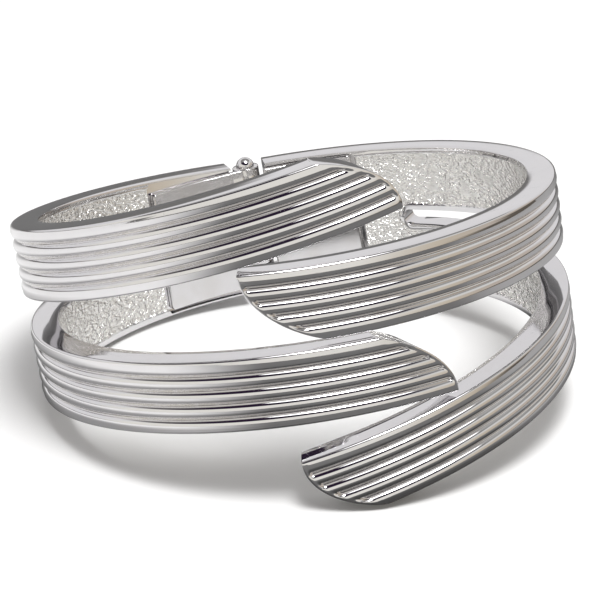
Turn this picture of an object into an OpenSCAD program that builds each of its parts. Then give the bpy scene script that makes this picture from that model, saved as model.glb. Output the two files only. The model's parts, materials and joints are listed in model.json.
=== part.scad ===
// Hinged bypass cuff bracelet.
// Two cast halves meet at a spring hinge behind the wrist.  Each half is a fork: one tall panel at
// the hinge that splits into two ridged fingers.  The fingers of both halves cross in front, one
// above the other.  The right half is the left half turned over, front to back line kept.
// The halves are drawn about the upright hinge axis, with +Y towards the hinge, and lay_down()
// then leans them into the pose in which the bracelet rests on a table.

/* [Oval] */
// Half of the outside width, side to side
half_width = 34; // [32:0.5:36]
// Half of the outside depth, from front to hinge
half_depth = 26; // [25:0.5:28]
// Wall thickness, from the ridge tops to the wrist side
wall = 3.6; // [3.4:0.1:4]

/* [Fingers] */
// Height of each ridged finger
finger_h = 9; // [8.6:0.1:9.2]
// Height of a finger's middle above or below the middle of the hinge
join_h = 4.3; // [4.2:0.05:4.5]
// How far the outer finger climbs on its way round to the front
outer_climb = 9; // [8.6:0.1:9.4]
// Extra climb of the outer finger that grows towards its tip
outer_curl = 3.7; // [3.5:0.1:3.9]
// How far the inner finger first climbs
inner_climb = 2.7; // [2.5:0.1:2.9]
// Drop of the inner finger that grows towards its tip
inner_drop = 3.4; // [3.2:0.1:3.6]
// Where the slot between the fingers starts, as a share of the way round to the front
slot_start = 0.215; // [0.2:0.005:0.23]
// Extra half width of the slot at its round end
slot_ease = 0.4; // [0.3:0.05:0.5]

/* [Tips] */
// Where the outer finger's short edge ends, 1 being the front middle
outer_short_end = 0.985; // [0.97:0.005:1]
// Where the outer finger's pointed edge ends
outer_long_end = 1.078; // [1.06:0.002:1.09]
// Where the inner finger's short edge ends
inner_short_end = 1.025; // [1.01:0.005:1.035]
// Where the inner finger's pointed edge ends
inner_long_end = 1.115; // [1.1:0.005:1.125]
// Width of the flat lip round each tip
tip_lip = 0.7; // [0.5:0.1:1]

/* [Surface] */
// Depth of the grooves between the ridges
groove_depth = 0.45; // [0.3:0.05:0.6]
// Width of the smooth frame round the textured inner face
frame_w = 0.7; // [0.6:0.1:0.9]
// Depth of the textured inner face below its frame
recess_depth = 0.35; // [0.2:0.05:0.5]

/* [Hinge] */
// Outside radius of the hinge knuckles
knuckle_r = 1.75; // [1.6:0.05:1.8]
// Radius of the hinge pin
pin_r = 0.75; // [0.6:0.05:0.85]
// Radial clearance between the pin and the knuckles
pin_play = 0.05; // [0.03:0.01:0.08]
// Radius of the domed head above the hinge and of the ball below it
ball_r = 1.2; // [1.1:0.05:1.3]
// Thickness of the hinge leaves
leaf_t = 0.85; // [0.7:0.05:0.9]
// Distance from the hinge axis to the leaf's far end
leaf_reach = 13.5; // [10:0.5:14]
// Height of the leaf's top edge above the middle of the hinge
leaf_top = 8.3; // [7:0.1:8.3]
// Depth of the leaf's lower edge below the middle of the hinge
leaf_low = 7.9; // [7:0.1:7.9]
// Wire radius of the closing spring
wire_r = 0.2; // [0.15:0.05:0.25]
// Turns of the closing spring
spring_turns = 4; // [3:1:4]

/* [Hidden] */

// Lean of the resting bracelet, and the shift that puts the middle of its base on the origin
lean_back = -12.35;
lean_side = -8.87;
seat = [0, 1.34, 15.515];

silver = [0.80, 0.80, 0.79];
bright_silver = [0.88, 0.88, 0.87];
steel = [0.62, 0.63, 0.65];

// The wrist side of the wall is an oval too, and this circle follows its back
inner_a = half_width - wall;
inner_b = half_depth - wall;
leaf_arc_r = inner_a * inner_a / inner_b;
leaf_arc_y = inner_b - leaf_arc_r;
hinge_y = inner_b + knuckle_r;

// Knuckle ends, from the top down: left, right, spring, left, right
knuckle_gap = 0.1;
knuckle_top = 8.4;
knuckle_mid = 5.1;
knuckle_low = 1.7;
tab_start = 0.6;
leaf_setback = 2.05;
band_setback = 2.6;
bore_r = pin_r + pin_play;

leaf_overlap = 0.5;

// The pin stands up into the domed head and down into the ball
head_lift = 0.03;
ball_sink = 0.12;
pin_grip = 0.4;
press_play = 0.01;
hole_over = 0.02;
ball_z = knuckle_top + ball_r - ball_sink;
dome_z = knuckle_top + head_lift;

// Closing spring: its coil, the legs that lie along the leaves, and how finely it is drawn
coil_r = 1.2;
leg_r = 1.97;
coil_pitch = 0.52;
leg_reach = 5;
turn_steps = 18;
coil_steps = spring_turns * turn_steps;
ease_steps = 6;
leg_spread = 0.01;
WIRE_SIDES = 8;

// Facets of the round parts
ROUND = 64;
LEAF_ROUND = 96;

// Leaf pocket in the band
pocket_depth = leaf_t + 0.1;
pocket_reach = leaf_reach + 0.3;
pocket_frame = 0.25;
pocket_step = 0.1;
step_w = 0.3;
shelf = frame_w + step_w;

// Stations along a half.  The panel runs from its hinge end to the slot, a finger from there on.
back_mm = half_width * PI;
band_start = asin(band_setback / half_width) / 180;
pocket_end = asin(pocket_reach / inner_a) / 180;
step_u = step_w / back_mm;
slot_round_u = 1.0 / back_mm;
slot_fade_u = 0.06;
pocket_steps = 6;
web_steps = 4;
web_spacing = 4.3;
pocket_us = [for (k = [0:pocket_steps])
    band_start + (pocket_end - band_start) * k / pocket_steps];
web_us = [for (k = [0:web_steps])
    pocket_end + step_u + (slot_start - shelf / back_mm - pocket_end) * k / web_spacing];
panel_us = concat(pocket_us, web_us,
    [slot_start - shelf / back_mm, slot_start - frame_w / back_mm]);
finger_mm = 82;
finger_steps = 33;
slot_end_ts = [0, 0.0012, 0.0045, 0.011];
straight_from = 0.011;
straight_to = 0.982;
finger_ts = concat(
    slot_end_ts,
    [for (k = [1:finger_steps]) straight_from + (straight_to - straight_from) * k / finger_steps],
    [1 - shelf / finger_mm, 1 - tip_lip / finger_mm, 1]);
panel_n = len(panel_us);
station_n = panel_n + len(finger_ts);

// Ridge profile: five ridges, each from groove to shoulder, crown, shoulder.  A narrow land, or
// before the slot a web that widens, lies between the nearest ridge and the finger's near edge.
RIDGES = 5;
ridge_steps = [1, 0.22, 0, 0.22];
RIDGE_N = len(ridge_steps);
OUT_N = 1 + RIDGES * RIDGE_N;
IN_N = RIDGES;
land_w = 0.12;
web_u = 0.085;
leaf_roundness = 0.8;

// Height of the middle of each finger, and of the line between them
function outer_mid(u) = join_h + outer_climb * u + outer_curl * u * u;
function inner_mid(u) = -join_h + inner_climb * u - inner_drop * u * u;
function seam(u) = (outer_mid(u) + inner_mid(u)) / 2;

// Half width of the slot, nothing before its round end
function slot_open(u) = (outer_mid(u) - inner_mid(u) - finger_h) / 2
    + slot_ease * exp((slot_start - u) / slot_fade_u);
function slot_round(x) = x >= 1 ? 1 : x <= 0 ? 0 : sqrt(1 - (1 - x) * (1 - x));
function slot_half(u) = slot_open(u) * slot_round((u - slot_start) / slot_round_u);

// A finger's two edges: near is the slot side, far the rim side.  up is 1 for the upper finger.
function near_edge(up, u) = seam(u) + up * slot_half(u);
function far_edge(up, u) = up > 0 ? outer_mid(u) + finger_h / 2 : inner_mid(u) - finger_h / 2;
function web_ease(x) = x >= 1 ? 1 : x <= 0 ? 0 : x * x * (3 - 2 * x);
function web_edge(u) = land_w
    + slot_open(max(u, slot_start)) * web_ease((u - slot_start + web_u) / web_u);

// Where the leaf-shaped tip ends, for a place w across the finger from near to far edge
function leaf_curve(v) = pow(max(0, 1 - v * v), leaf_roundness);
function tip_u(up, w) = up > 0
    ? outer_short_end + (outer_long_end - outer_short_end) * leaf_curve(w)
    : inner_short_end + (inner_long_end - inner_short_end) * leaf_curve(1 - w);

function station_u(up, i, w) = i < panel_n ? panel_us[i]
    : slot_start + (tip_u(up, w) - slot_start) * finger_ts[i - panel_n];

function on_oval(u, depth, z) = [
    -(half_width - depth) * sin(180 * u),
    (half_depth - depth) * cos(180 * u),
    z];

function across(up, u, w) = near_edge(up, u) + w * (far_edge(up, u) - near_edge(up, u));

// Outer face: ridges that end on the lip
function ridge_depth(i, j) = i >= station_n - 2 || j == 0 ? groove_depth
    : groove_depth * ridge_steps[(j - 1) % RIDGE_N];
function ridge_w(u, j) =
    let (land = (web_edge(u) - slot_half(u)) / (far_edge(1, u) - near_edge(1, u)))
    j == 0 ? 0 : land + (1 - land) * (j - 1) / (OUT_N - 1);
function outer_point(up, i, j) =
    let (u = station_u(up, i, j / OUT_N))
    on_oval(u, ridge_depth(i, j), across(up, u, ridge_w(u, j)));

// Inner face: frame, step and floor.  The pocket for the leaf is open at the hinge end, and its
// frame is narrower.
function in_pocket(i) = i < len(pocket_us);
function floor_depth(i) = in_pocket(i) ? pocket_depth : i >= station_n - 2 ? 0 : recess_depth;
function inner_w(up, i, j) =
    let (u = i < panel_n ? panel_us[i] : slot_start + (1 - slot_start) * finger_ts[i - panel_n],
         width = abs(far_edge(up, u) - near_edge(up, u)),
         frame = in_pocket(i) ? pocket_frame : frame_w,
         ledge = frame + (in_pocket(i) ? pocket_step : step_w))
    [0, frame / width, ledge / width, 1 - ledge / width, 1 - frame / width, 1][j];
function inner_depth(i, j) =
    j == 2 || j == 3 ? floor_depth(i) : (j < 2 && i < panel_n - 1) ? floor_depth(i) : 0;
function inner_point(up, i, j) =
    let (w = inner_w(up, i, j), u = station_u(up, i, w))
    on_oval(u, wall - inner_depth(i, j), across(up, u, w));

function finger_points(up) = concat(
    [for (i = [0:station_n - 1]) for (j = [0:OUT_N]) outer_point(up, i, j)],
    [for (i = [0:station_n - 1]) for (j = [0:IN_N]) inner_point(up, i, j)]);

// Faces of one finger and its half of the panel, counted from its first point
function out_id(base, i, j) = base + i * (OUT_N + 1) + j;
function in_id(base, i, j) = base + station_n * (OUT_N + 1) + i * (IN_N + 1) + j;
function flip(face) = concat([face[0]], [for (k = [len(face) - 1:-1:1]) face[k]]);
function end_face(base, i, k) =
    let (first = k == 0 ? 0 : RIDGE_N * k + 1,
         rim = [for (j = [first:RIDGE_N * (k + 1) + 1]) out_id(base, i, j)])
    k < 2 ? concat([in_id(base, i, k + 1), in_id(base, i, k)], rim)
          : concat([in_id(base, i, k)], rim, [in_id(base, i, k + 1)]);
function finger_faces(base, up) =
    let (last = station_n - 1, faces = concat(
        [for (i = [0:last - 1]) for (j = [0:OUT_N - 1])
            [out_id(base, i, j), out_id(base, i, j + 1), out_id(base, i + 1, j + 1),
             out_id(base, i + 1, j)]],
        [for (i = [0:last - 1]) for (j = [0:IN_N - 1])
            [in_id(base, i, j), in_id(base, i + 1, j), in_id(base, i + 1, j + 1),
             in_id(base, i, j + 1)]],
        [for (i = [0:last - 1])
            [in_id(base, i, IN_N), in_id(base, i + 1, IN_N), out_id(base, i + 1, OUT_N),
             out_id(base, i, OUT_N)]],
        [for (i = [panel_n:last - 1])
            [out_id(base, i, 0), out_id(base, i + 1, 0), in_id(base, i + 1, 0),
             in_id(base, i, 0)]],
        [for (k = [0:IN_N - 1]) flip(end_face(base, 0, k))],
        [for (k = [0:IN_N - 1]) end_face(base, last, k)]))
    up > 0 ? faces : [for (f = faces) flip(f)];

module band() {
    upper = finger_points(1);
    lower = finger_points(-1);
    polyhedron(points = concat(upper, lower),
               faces = concat(finger_faces(0, 1), finger_faces(len(upper), -1)));
}

// A piece of the leaf's curved sheet, from x = reach_a to reach_b beside the axis
module leaf_sheet(reach_a, reach_b, low, high) {
    from = asin(reach_a / leaf_arc_r);
    to = asin(reach_b / leaf_arc_r);
    translate([0, leaf_arc_y, 0])
        rotate([0, 0, 90 + from])
            rotate_extrude(angle = to - from, $fn = LEAF_ROUND)
                translate([leaf_arc_r, low])
                    square([leaf_t, high - low]);
}

module knuckle(low, high) {
    translate([0, hinge_y, low])
        cylinder(r = knuckle_r, h = high - low, $fn = ROUND);
    leaf_sheet(tab_start, leaf_setback + leaf_overlap, low, high);
}

module hinge_leaf() {
    difference() {
        union() {
            leaf_sheet(leaf_setback, leaf_reach, -leaf_low, leaf_top);
            knuckle(knuckle_mid + knuckle_gap, knuckle_top);
            knuckle(-knuckle_mid, -knuckle_low);
        }
        translate([0, hinge_y, -half_depth])
            cylinder(r = bore_r, h = 2 * half_depth, $fn = ROUND);
    }
}

// The closing spring: a coil round the pin, with a leg lying along each leaf
function coil_ease(k) = min(1, min(k, coil_steps - k) / ease_steps);
function coil_radius(k) =
    let (e = coil_ease(k)) leg_r + (coil_r - leg_r) * e * e * (3 - 2 * e);
function coil_point(k) =
    let (turn = -90 + 360 * k / turn_steps, r = coil_radius(k))
    [r * cos(turn), hinge_y + r * sin(turn), (1 / 2 - k / coil_steps) * spring_turns * coil_pitch];
function leg_point(side, x) =
    [side * x, hinge_y - leg_r - x * x / (2 * leaf_arc_r) - leg_spread * x,
     -side * spring_turns * coil_pitch / 2];
spring_path = concat(
    [for (x = [leg_reach:-1:1]) leg_point(-1, x)],
    [for (k = [0:coil_steps]) coil_point(k)],
    [for (x = [1:leg_reach]) leg_point(1, x)]);

function unit(v) = v / norm(v);
function path_direction(path, i) =
    unit(path[min(i + 1, len(path) - 1)] - path[max(i - 1, 0)]);
function wire_ring(path, i) =
    let (t = path_direction(path, i), a = unit(cross(t, [0, 0, 1])), b = cross(a, t))
    [for (k = [0:WIRE_SIDES - 1])
        path[i] + wire_r * (cos(360 * k / WIRE_SIDES) * a + sin(360 * k / WIRE_SIDES) * b)];
module wire(path) {
    rings = [for (i = [0:len(path) - 1]) wire_ring(path, i)];
    points = [for (ring = rings) for (p = ring) p];
    last = (len(path) - 1) * WIRE_SIDES;
    polyhedron(points = points, faces = concat(
        [[for (k = [WIRE_SIDES - 1:-1:0]) k]],
        [[for (k = [0:WIRE_SIDES - 1]) last + k]],
        [for (i = [0:len(path) - 2]) for (k = [0:WIRE_SIDES - 1])
            [i * WIRE_SIDES + k, i * WIRE_SIDES + (k + 1) % WIRE_SIDES,
             (i + 1) * WIRE_SIDES + (k + 1) % WIRE_SIDES, (i + 1) * WIRE_SIDES + k]]));
}

// A sphere on the pin, cut flat just clear of the knuckle, with a blind hole for the pin's end
module pin_end(middle, grip) {
    translate([0, hinge_y, 0])
        difference() {
            translate([0, 0, middle])
                sphere(r = ball_r, $fn = ROUND);
            cylinder(r = ball_r * 2, h = dome_z, $fn = ROUND);
            cylinder(r = pin_r + press_play, h = middle + grip + hole_over, $fn = ROUND);
        }
}

// Turns the left half's shape into the right half's
module turned_over() {
    rotate([0, 180, 0])
        children();
}

module lay_down() {
    translate(seat)
        rotate([lean_back, 0, 0])
            rotate([0, lean_side, 0])
                children();
}

module left_band() {
    color(silver)
        lay_down()
            band();
}

module right_band() {
    color(silver)
        lay_down()
            turned_over()
                band();
}

module left_hinge_leaf() {
    color(bright_silver)
        lay_down()
            hinge_leaf();
}

module right_hinge_leaf() {
    color(bright_silver)
        lay_down()
            turned_over()
                hinge_leaf();
}

module hinge_pin() {
    color(steel)
        lay_down()
            translate([0, hinge_y, -ball_z - pin_grip])
                cylinder(r = pin_r, h = ball_z + dome_z + 2 * pin_grip, $fn = ROUND);
}

module pin_top_dome() {
    color(bright_silver)
        lay_down()
            pin_end(dome_z, pin_grip);
}

module pin_bottom_ball() {
    color(bright_silver)
        lay_down()
            turned_over()
                pin_end(ball_z, pin_grip);
}

module torsion_spring() {
    color(steel)
        lay_down()
            wire(spring_path);
}

left_band();
right_band();
left_hinge_leaf();
right_hinge_leaf();
hinge_pin();
pin_top_dome();
pin_bottom_ball();
torsion_spring();
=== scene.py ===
"""A hinged bypass cuff bracelet: two cast and polished halves, each a ridged fork, on a spring hinge.

Both halves are drawn about the upright hinge axis, in millimetres, with +Y towards the hinge, and are
then laid in the frame's resting pose. The right half is the left half's shape turned over.
"""
import json
import math

import bpy
import numpy as np
from bpy.props import FloatProperty, FloatVectorProperty, IntProperty, PointerProperty
from mathutils import Matrix, Vector

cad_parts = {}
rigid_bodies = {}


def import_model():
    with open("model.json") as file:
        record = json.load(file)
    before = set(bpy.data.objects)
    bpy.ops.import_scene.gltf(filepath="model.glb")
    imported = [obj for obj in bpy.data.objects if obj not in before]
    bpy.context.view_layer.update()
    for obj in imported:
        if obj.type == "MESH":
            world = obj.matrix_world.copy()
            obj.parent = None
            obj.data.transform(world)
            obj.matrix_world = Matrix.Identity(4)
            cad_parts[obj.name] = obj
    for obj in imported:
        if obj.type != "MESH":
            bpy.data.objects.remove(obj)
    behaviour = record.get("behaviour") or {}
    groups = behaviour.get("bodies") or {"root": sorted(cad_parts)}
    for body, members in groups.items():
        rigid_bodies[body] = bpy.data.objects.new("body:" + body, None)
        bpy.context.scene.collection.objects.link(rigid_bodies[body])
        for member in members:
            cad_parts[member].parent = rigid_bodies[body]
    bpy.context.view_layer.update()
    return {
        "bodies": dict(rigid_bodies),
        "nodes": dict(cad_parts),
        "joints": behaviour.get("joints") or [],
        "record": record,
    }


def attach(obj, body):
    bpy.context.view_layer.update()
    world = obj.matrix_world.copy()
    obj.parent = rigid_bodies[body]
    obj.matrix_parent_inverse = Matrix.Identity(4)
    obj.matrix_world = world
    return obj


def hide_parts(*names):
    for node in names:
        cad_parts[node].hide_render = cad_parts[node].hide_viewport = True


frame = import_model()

bl_info = {
    "name": "Bypass Cuff Bracelet",
    "version": (1, 0, 0),
    "blender": (4, 5, 0),
    "location": "View3D > Sidebar > Bracelet",
    "description": "Builds a hinged cuff bracelet with ridged, crossing fingers round its CAD frame",
    "category": "Object",
}

MM = 0.001
HINGE = frame["joints"][0]

# The hinge stands at this distance from the middle of the oval
HINGE_Y = 24.15


def resting_pose():
    """The matrix that lays a shape drawn about the upright hinge axis, in metres, in the frame."""
    up = Vector(HINGE["axis"]).normalized()
    back = Vector((0, up.z, -up.y)).normalized()
    side = back.cross(up)
    seat = Vector(HINGE["pos_m"]) - back * HINGE_Y * MM
    turn = Matrix((side, back, up)).transposed()
    return Matrix.Translation(seat) @ turn.to_4x4()


LAID = resting_pose()
TURNED_OVER = Matrix.Diagonal((-1, 1, -1, 1))


# ---------------------------------------------------------------- sizes and colours

class BangleBandSizes(bpy.types.PropertyGroup):
    half_width: FloatProperty(name="Half width", description="Half of the outside width, in mm", default=34)
    half_depth: FloatProperty(name="Half depth", description="Half of the outside depth, in mm", default=26)
    wall: FloatProperty(name="Wall", description="Wall thickness from ridge tops to wrist side, in mm",
                        default=3.6)
    finger: FloatProperty(name="Finger height", description="Height of a ridged finger, in mm", default=9)
    ridges: IntProperty(name="Ridges", description="Ridges on each finger", default=5)
    groove: FloatProperty(name="Groove depth", description="Depth of the grooves, in mm", default=0.52)
    lip: FloatProperty(name="Tip lip", description="Width of the flat lip round each tip, in mm",
                       default=0.3)
    scoop: FloatProperty(name="Groove end", description="Length of the groove's rising end, in mm",
                         default=0.35)
    lip_depth: FloatProperty(name="Lip depth", description="Depth of the tip lip below the ridge tops, in mm",
                             default=0.03)
    frame: FloatProperty(name="Frame", description="Width of the wrist side's smooth frame, in mm",
                         default=0.7)
    recess: FloatProperty(name="Recess", description="Depth of the textured wrist side, in mm", default=0.35)
    edge: FloatProperty(name="Edge rounding", description="Radius of the polished edges, in mm", default=0.11)
    hammer: FloatProperty(name="Texture height",
                          description="Height of the cast texture, in mm", default=0.10)


class BangleHingeSizes(bpy.types.PropertyGroup):
    knuckle: FloatProperty(name="Knuckle radius", description="Outside radius of the knuckles, in mm",
                           default=1.75)
    pin: FloatProperty(name="Pin radius", description="Radius of the hinge pin, in mm", default=0.75)
    play: FloatProperty(name="Pin play", description="Clearance round the pin, in mm", default=0.05)
    ball: FloatProperty(name="Ball radius",
                        description="Radius of the pin's domed head and of its ball, in mm",
                        default=1.2)
    leaf: FloatProperty(name="Leaf thickness", description="Thickness of the hinge leaves, in mm",
                        default=0.85)
    reach: FloatProperty(name="Leaf reach", description="From the axis to the leaf's far end, in mm",
                         default=13.5)
    leaf_top: FloatProperty(name="Leaf top", description="Leaf's top edge above the hinge's middle, in mm",
                            default=8.3)
    leaf_low: FloatProperty(name="Leaf low", description="Leaf's lower edge below the hinge's middle, in mm",
                            default=7.9)
    wire: FloatProperty(name="Wire radius", description="Radius of the spring wire, in mm", default=0.2)
    turns: IntProperty(name="Spring turns", description="Turns of the closing spring", default=4)


class BangleFinishes(bpy.types.PropertyGroup):
    plating: FloatVectorProperty(name="Plating", description="Colour of the polished plating",
                                 subtype="COLOR", default=(0.74, 0.73, 0.74))
    # The worn colour is random dulling on the leaves and balls, and painted shade in the deepest parts of the
    # band's grooves.
    worn_and_groove_shade: FloatVectorProperty(name="Worn plating", description="Colour where the plating has dulled",
                              subtype="COLOR", default=(0.62, 0.60, 0.57))
    cast: FloatVectorProperty(name="Cast face", description="Colour of the textured wrist side",
                              subtype="COLOR", default=(0.93, 0.92, 0.90))
    steel: FloatVectorProperty(name="Steel", description="Colour of the pin and the spring",
                               subtype="COLOR", default=(0.46, 0.46, 0.48))
    floor: FloatVectorProperty(name="Floor", description="Colour of the plain floor",
                               subtype="COLOR", default=(0.90, 0.90, 0.90))


class BangleCamera(bpy.types.PropertyGroup):
    azimuth: FloatProperty(name="Azimuth", description="Where the camera stands round the bracelet",
                           subtype="ANGLE", default=math.radians(-15.51))
    elevation: FloatProperty(name="Elevation", description="Height of the camera above the horizon",
                             subtype="ANGLE", default=math.radians(28.83))
    distance: FloatProperty(name="Distance", description="From the middle of the bracelet to the camera",
                            unit="LENGTH", default=0.2781)
    tilt: FloatProperty(name="Tilt", description="How far the aim is raised", subtype="ANGLE",
                        default=math.radians(-0.58))
    roll: FloatProperty(name="Roll", description="Turn of the camera about its aim", subtype="ANGLE",
                        default=math.radians(3.39))
    lens: FloatProperty(name="Lens", description="Focal length on a 36 mm wide sensor, in mm",
                        default=134.1)
    aim_height: FloatProperty(name="Aim height", description="Height of the point that is aimed at",
                              unit="LENGTH", default=0.016)


# ---------------------------------------------------------------- the run of the two fingers

JOIN_H = 4.3
OUTER_CLIMB, OUTER_CURL = 9.0, 3.7
INNER_CLIMB, INNER_DROP = 2.7, 3.4
SLOT_START, SLOT_EASE, SLOT_FADE = 0.215, 0.4, 0.06
OUTER_SHORT, OUTER_LONG = 0.985, 1.078
INNER_SHORT, INNER_LONG = 1.025, 1.115
LEAF_POWER = 0.8
LAND, WEB = 0.12, 0.085
STEP = 0.3
# Ridge profile: slope of the surface at places from the groove, 0, to the middle of the crown, 0.5
PROFILE_AT = (0, 0.075, 0.111, 0.185, 0.29, 0.5)
PROFILE_SLOPE = (0, 1.5, 1.5, 0.78, 0.42, 0)
HALF_RIDGE = (0, 0.038, 0.075, 0.111, 0.16, 0.22, 0.32)
# Long edges of a finger: radius of the rounding, and the places of its faces, in mm from the edge
EDGE_ROUND = 0.35
EDGE_AT = (0, 0.02, 0.07, 0.15, 0.24, 0.35, 0.55)
EDGE_FADE = 5                     # mm past the slot's end over which its edges take this rounding
# Other rounded edges: how far each of their three columns drops, in edge radii
ARC = np.array([1, 0.29, 0])
# Stations along a finger: the tip's mean place, the oval's girth as a share of its circle, mm from
# the slot's end, and the closer stations of the tip with the mm that they reach back
TIP_MIDDLE, OVAL_SHARE = 1.03, 0.925
SLOT_AT = (0, 0.02, 0.08, 0.18, 0.32, 0.5, 0.72, 0.95)
FINE_TIP, TIP_STATION = 3.5, 0.125
BAND_SETBACK = 2.6
POCKET_REACH, POCKET_DEPTH = 13.8, 0.95
POCKET_FRAME, POCKET_STEP = 0.25, 0.1


def smooth(x):
    """0 below 0, 1 above 1, and an even curve between."""
    x = np.clip(x, 0, 1)
    return x * x * (3 - 2 * x)


class Band:
    """The left half's shape. u runs from the hinge, 0, to the front middle, 1, and w from a
    finger's slot edge, 0, to its rim edge, 1. up is 1 for the upper finger and -1 for the lower."""

    SIDE_STEPS = 3                # faces across a rim
    STATION = 0.40                # mm between stations
    FROM_TIP = 0.93               # share of a finger past which the way to the tip is measured
    FADE_STATIONS = 87            # the slot edge takes its rounding over this small a part, 1/87

    def __init__(self, sizes):
        self.z = sizes
        self.per_u = sizes.half_width * math.pi
        self.inner_a = sizes.half_width - sizes.wall

    def outer_mid(self, u):
        return JOIN_H + OUTER_CLIMB * u + OUTER_CURL * u * u

    def inner_mid(self, u):
        return -JOIN_H + INNER_CLIMB * u - INNER_DROP * u * u

    def seam(self, u):
        return (self.outer_mid(u) + self.inner_mid(u)) / 2

    def slot_open(self, u):
        gap = (self.outer_mid(u) - self.inner_mid(u) - self.z.finger) / 2
        return gap + SLOT_EASE * np.exp((SLOT_START - u) / SLOT_FADE)

    def slot_half(self, u):
        x = np.clip((u - SLOT_START) * self.per_u, 0, 1)
        return self.slot_open(u) * np.sqrt(1 - (1 - x) ** 2)

    def near(self, up, u):
        return self.seam(u) + up * self.slot_half(u)

    def far(self, up, u):
        middle = self.outer_mid(u) if up > 0 else self.inner_mid(u)
        return middle + up * self.z.finger / 2

    def land(self, u):
        """Flat strip between the slot edge and the nearest ridge."""
        widening = smooth((u - SLOT_START + WEB) / WEB)
        web = LAND + self.slot_open(np.maximum(u, SLOT_START)) * widening
        return web - self.slot_half(u)

    def tip(self, up, w):
        """Where the leaf-shaped tip ends, across the finger."""
        v = w if up > 0 else 1 - w
        curve = np.maximum(0, 1 - v * v) ** LEAF_POWER
        if up > 0:
            return OUTER_SHORT + (OUTER_LONG - OUTER_SHORT) * curve
        return INNER_SHORT + (INNER_LONG - INNER_SHORT) * curve

    def ridge_share(self, x):
        """Depth share of the ridge profile, 0 on the crown and 1 in the groove, x in ridges."""
        fine = np.linspace(0, 0.5, 400)
        slope = np.interp(fine, PROFILE_AT, PROFILE_SLOPE)
        height = np.concatenate([[0], np.cumsum(slope[1:] + slope[:-1])])
        off = 0.5 - np.abs(x - np.floor(x) - 0.5)
        return 1 - np.interp(off, fine, height / height[-1])

    def edge_depth(self, off, pitch):
        """Depth of a ridge that ends in a rounded edge, off mm from that edge."""
        low = EDGE_ROUND - np.sqrt(np.maximum(EDGE_ROUND ** 2 - np.maximum(EDGE_ROUND - off, 0) ** 2, 0))
        crown = self.z.groove * self.ridge_share(np.clip(off / pitch, PROFILE_AT[-2], 0.5))
        return low + crown

    def stations(self):
        """Along the half: (panel u values, finger shares t of the way from slot to tip)."""
        start = math.asin(BAND_SETBACK / self.z.half_width) / math.pi
        pocket_end = math.asin(POCKET_REACH / self.inner_a) / math.pi
        e = self.z.edge / self.per_u
        panel = np.concatenate([
            [start, start + 0.3 * e, start + e],
            np.linspace(start + 2 * e, pocket_end - 0.1 / self.per_u, 36),
            pocket_end + np.array([0, 0.1, 0.2, 0.3, 0.4]) / self.per_u,
            np.linspace(pocket_end + 0.6 / self.per_u, SLOT_START, 26)[:-1]])
        length = (TIP_MIDDLE - SLOT_START) * self.per_u * OVAL_SHARE
        slot = np.array(SLOT_AT) / length
        edge = self.z.edge
        tip = np.concatenate([np.arange(FINE_TIP, edge + 0.05, -TIP_STATION), [edge, 0.3 * edge, 0]])
        tip = 1 - tip / length
        body = np.linspace(slot[-1], tip[0], int(length / self.STATION))[1:-1]
        return panel, np.concatenate([slot, body, tip])

    def pocket_share(self, u):
        """1 in the leaf's pocket and 0 past its end."""
        pocket_end = math.asin(POCKET_REACH / self.inner_a) / math.pi
        return 1 - float(smooth((u - pocket_end) * self.per_u / STEP))

    def ledge(self, in_pocket):
        """Width of the smooth frame of the wrist side, and of the step down from it."""
        return (self.z.frame + (POCKET_FRAME - self.z.frame) * in_pocket,
                STEP + (POCKET_STEP - STEP) * in_pocket)

    def columns(self, width, land, rounded, in_pocket):
        """Round the section, in mm from the slot edge: outer face out, rim, wrist face back, slot
        wall. rounded is 0 at the seam of the panel and 1 where the slot edge is rounded."""
        z = self.z
        edge = z.edge
        pitch = (width - land) / z.ridges
        half = np.array(HALF_RIDGE)
        rise = np.concatenate([half, [0.5], 1 - half[:0:-1]])
        ridges = np.concatenate([k + rise for k in range(z.ridges)])
        ridges = land + pitch * ridges[len(half):len(ridges) - len(half) + 1]
        seam = np.concatenate([[0], land + pitch * half[[0, 2, 3, 4, 5, 6]]])
        near = seam + (np.array(EDGE_AT) - seam) * rounded
        outer = np.concatenate([near, ridges, width - np.array(EDGE_AT)[::-1]])
        frame, step = self.ledge(in_pocket)
        shelf = frame + step
        ramp = np.array([frame, frame + step / 3, frame + step * 2 / 3])
        corner = edge * ARC[[2, 1, 0]]
        inner = np.concatenate([corner, ramp,
                                np.linspace(shelf, width - shelf, len(outer) - 12),
                                width - ramp[::-1], width - corner[::-1]])
        return outer, inner[::-1]

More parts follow.
